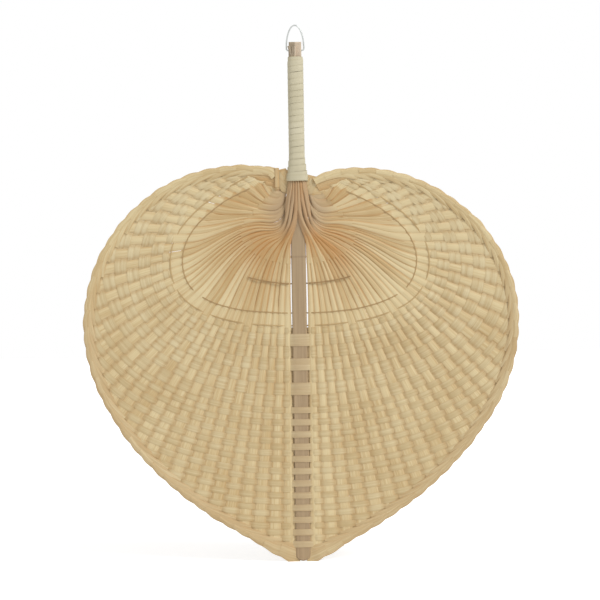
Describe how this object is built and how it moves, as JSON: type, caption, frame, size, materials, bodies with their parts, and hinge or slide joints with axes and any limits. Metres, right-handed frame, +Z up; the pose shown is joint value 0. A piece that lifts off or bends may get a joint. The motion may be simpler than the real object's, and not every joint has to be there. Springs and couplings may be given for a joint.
{
  "type": "bamboo wall fan",
  "caption": "Heart-shaped plaited bamboo fan on a flat centre stick, with a cane-wrapped handle and a wire loop to hang it on a wall.",
  "frame": {"origin": "the point where a nail bears on the inside of the hanging loop, at its top", "axes": "+Z up along the centre stick, +X to the right seen from the front, front facing -Y"},
  "size_m": [0.3584, 0.0104, 0.4457],
  "materials": {
    "wire": "plain grey wire",
    "stick": "brown-grey split bamboo",
    "cane": "pale cane",
    "splint": "raw bamboo splint",
    "strand": "brown bamboo strand",
    "weft": "raw bamboo strip"
  },
  "bodies": {
    "hanging_loop": {"hanging_loop": "wire"},
    "fan": {"centre_stick": "stick", "handle_wrap": "cane", "splint_left_01": "splint", "splint_left_02": "splint", "splint_left_03": "splint", "splint_left_04": "splint", "splint_left_05": "splint", "splint_left_06": "splint", "splint_left_07": "splint", "splint_left_08": "splint", "splint_left_09": "splint", "splint_left_10": "splint", "splint_left_11": "splint", "splint_left_12": "splint", "splint_left_13": "splint", "splint_left_14": "splint", "splint_left_15": "splint", "splint_left_16": "splint", "splint_left_17": "splint", "splint_left_18": "splint", "splint_right_01": "splint", "splint_right_02": "splint", "splint_right_03": "splint", "splint_right_04": "splint", "splint_right_05": "splint", "splint_right_06": "splint", "splint_right_07": "splint", "splint_right_08": "splint", "splint_right_09": "splint", "splint_right_10": "splint", "splint_right_11": "splint", "splint_right_12": "splint", "splint_right_13": "splint", "splint_right_14": "splint", "splint_right_15": "splint", "splint_right_16": "splint", "splint_right_17": "splint", "splint_right_18": "splint", "inner_strand_short": "strand", "inner_ring_first": "strand", "inner_ring_second": "strand", "weft_row_01": "weft", "weft_row_02": "weft", "weft_row_03": "weft", "weft_row_04": "weft", "weft_row_05": "weft", "weft_row_06": "weft", "weft_row_07": "weft", "weft_row_08": "weft", "weft_row_09": "weft", "weft_row_10": "weft", "weft_row_11": "weft", "weft_row_12": "weft", "weft_row_13": "weft", "weft_row_14": "weft", "weft_row_15": "weft", "weft_row_16": "weft", "weft_row_17": "weft"}
  },
  "joints": [
    {"name": "fan_swing", "type": "hinge", "parent": "hanging_loop", "child": "fan", "pos_m": [0, 0, -0.0204], "axis": [1, 0, 0], "range_deg": [-130, 130]}
  ]
}
